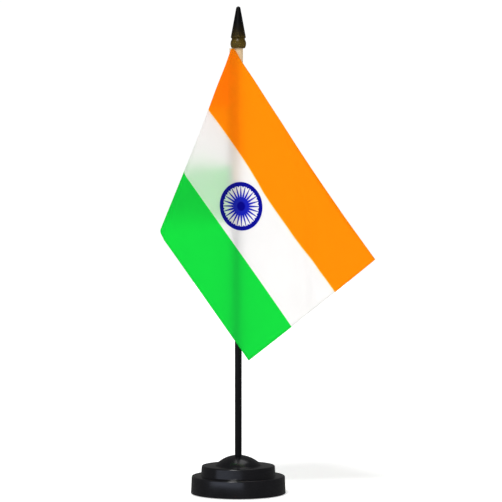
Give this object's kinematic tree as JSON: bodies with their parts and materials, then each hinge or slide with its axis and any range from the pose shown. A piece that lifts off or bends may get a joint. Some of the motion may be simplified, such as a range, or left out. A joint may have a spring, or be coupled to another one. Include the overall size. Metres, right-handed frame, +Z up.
{
  "type": "desk flag stand",
  "caption": "Small flag folded round its hoist on a thin pole with a spear cap, standing in a round two-tier weighted foot with a domed top.",
  "frame": {"origin": "centre of the underside of the foot, on the pole's axis", "axes": "+Z up along the pole; -Y is the front, where the flag's front panel faces; +X is the side that the fly end hangs to"},
  "size_m": [0.1267, 0.0687, 0.2896],
  "materials": {
    "black_moulding": "satin black injection moulding",
    "ballast_iron": "bare grey casting",
    "cover_plastic": "matt black moulding",
    "pad_felt": "dark pressed felt",
    "pole_paint": "satin black coating",
    "finial_lacquer": "gloss black at the tip, fading to bronze gold at the collar",
    "sleeve_cloth": "cream woven cloth",
    "flag_satin": "printed satin: orange, white and green stripes with a blue spoked wheel"
  },
  "bodies": {
    "foot": {"base_shell": "black_moulding", "ballast_ring": "ballast_iron", "bottom_cover": "cover_plastic", "base_pad": "pad_felt"},
    "staff": {"pole": "pole_paint"},
    "cap": {"finial": "finial_lacquer"},
    "flag": {"hoist_sleeve": "sleeve_cloth", "flag_cloth": "flag_satin"}
  },
  "joints": [
    {"name": "pole_lift", "type": "slide", "parent": "foot", "child": "staff", "axis": [0, 0, 1], "range_m": [0, 0.025]},
    {"name": "flag_swivel", "type": "hinge", "parent": "staff", "child": "flag", "pos_m": [0, 0, 0.21], "axis": [0, 0, 1], "continuous": true},
    {"name": "finial_pull", "type": "slide", "parent": "staff", "child": "cap", "axis": [0, 0, 1], "range_m": [0, 0.016]}
  ]
}
